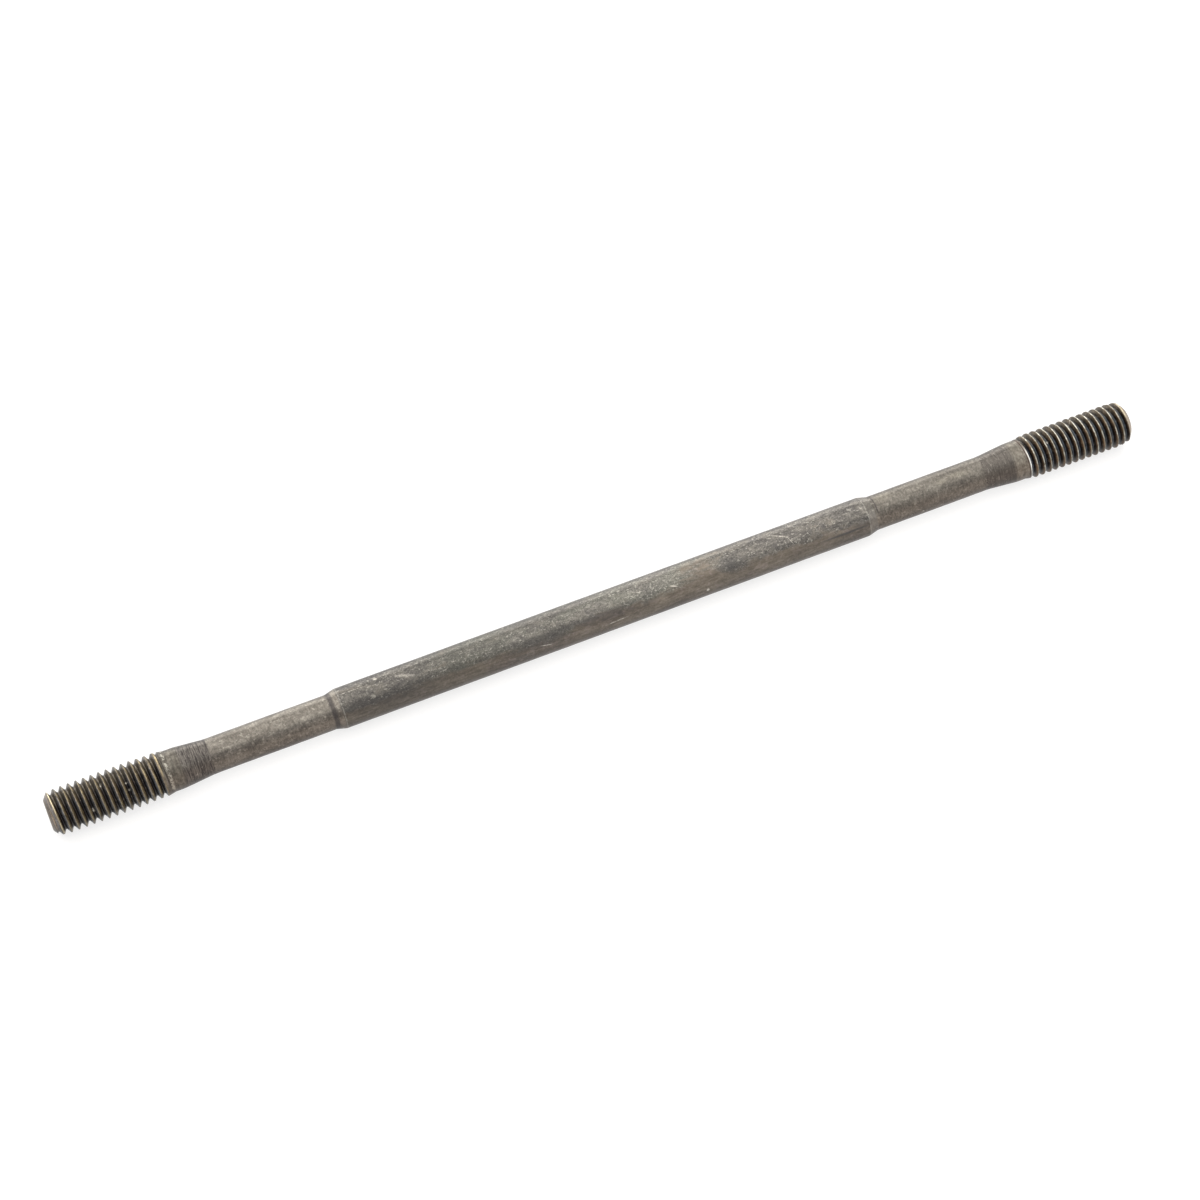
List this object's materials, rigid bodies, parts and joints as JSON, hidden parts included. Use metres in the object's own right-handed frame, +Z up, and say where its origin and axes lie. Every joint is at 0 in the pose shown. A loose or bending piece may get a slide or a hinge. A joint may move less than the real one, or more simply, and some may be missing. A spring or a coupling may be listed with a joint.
{
  "type": "cylinder stud",
  "caption": "Double-ended threaded steel stud with plain collars, waisted necks and a thicker central shank, for clamping a cylinder and its head to a crankcase.",
  "frame": {"origin": "under the stud's middle, on the surface it lies on: the lowest thread crests are at Z = 0", "axes": "+X along the stud's axis, towards the right-hand end as it lies; +Z up; the axis runs at Z = 4.7625 mm"},
  "size_m": [0.2414, 0.0096, 0.0095],
  "materials": {
    "steel": "dark phosphated, matte"
  },
  "bodies": {
    "root": {"stud": "steel"}
  },
  "joints": []
}
